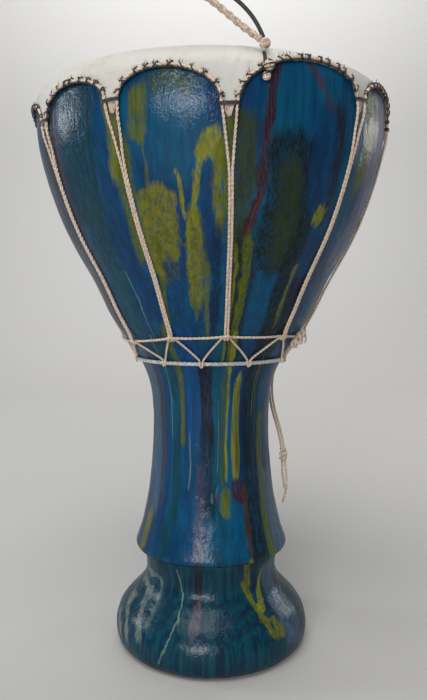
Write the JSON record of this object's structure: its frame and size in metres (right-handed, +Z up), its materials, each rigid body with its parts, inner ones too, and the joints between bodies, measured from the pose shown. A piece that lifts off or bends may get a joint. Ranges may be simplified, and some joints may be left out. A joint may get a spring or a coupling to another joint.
{
  "type": "djembe",
  "caption": "Hand-built clay goblet drum with a stitched goatskin head, twine tension cords, waist lacing and a rope carry loop.",
  "frame": {"origin": "centre of the foot's standing ring, on the floor", "axes": "+Z up along the drum's axis; -Y faces the side with the carry loop"},
  "size_m": [0.2671, 0.2709, 0.4565],
  "materials": {
    "painted_clay": "glossy marbled paint over fired clay",
    "goatskin": "dry scraped rawhide, matt",
    "natural_twine": "laid natural twine, matt",
    "waxed_cord": "waxed cord, slight sheen",
    "black_thread": "waxed black thread",
    "twisted_rope": "two-ply twisted hemp, matt"
  },
  "bodies": {
    "drum": {"drum_shell": "painted_clay", "drum_skin": "goatskin", "edge_stitches_01": "black_thread", "edge_stitches_02": "black_thread", "edge_stitches_03": "black_thread", "edge_stitches_04": "black_thread", "edge_stitches_05": "black_thread", "edge_stitches_06": "black_thread", "edge_stitches_07": "black_thread", "edge_stitches_08": "black_thread", "edge_stitches_09": "black_thread", "edge_stitches_10": "black_thread", "lower_wraps": "natural_twine", "rim_tie_lower": "natural_twine", "rim_tie_thread": "black_thread", "rim_tie_upper": "natural_twine", "tail_hitch": "natural_twine", "tension_cord_01": "natural_twine", "tension_cord_02": "natural_twine", "tension_cord_03": "natural_twine", "tension_cord_04": "natural_twine", "tension_cord_05": "natural_twine", "tension_cord_06": "natural_twine", "tension_cord_07": "natural_twine", "tension_cord_08": "natural_twine", "tension_cord_09": "natural_twine", "tension_cord_10": "natural_twine", "tip_lashings": "black_thread", "upper_wraps": "natural_twine", "waist_knot": "natural_twine", "waist_knot_legs": "natural_twine", "waist_ring_lower": "waxed_cord", "waist_ring_upper": "natural_twine", "zigzag_lacing": "natural_twine"},
    "carry_loop": {"carry_loop_base_knot": "twisted_rope", "carry_loop_rope": "twisted_rope", "carry_loop_cord": "black_thread", "carry_loop_end_knot": "twisted_rope"},
    "cord_tail": {"tail_strand_a": "natural_twine", "tail_strand_b": "natural_twine", "tail_knot": "natural_twine"}
  },
  "joints": [
    {"name": "carry_loop_fold", "type": "hinge", "parent": "drum", "child": "carry_loop", "pos_m": [0.03176, -0.12462, 0.4201], "axis": [0.969, 0.247, 0], "range_deg": [-60, 75]},
    {"name": "cord_tail_swing", "type": "hinge", "parent": "drum", "child": "cord_tail", "pos_m": [0.05237, 0.02785, 0.21985], "axis": [0.4695, -0.8829, 0], "range_deg": [0, 70]}
  ]
}
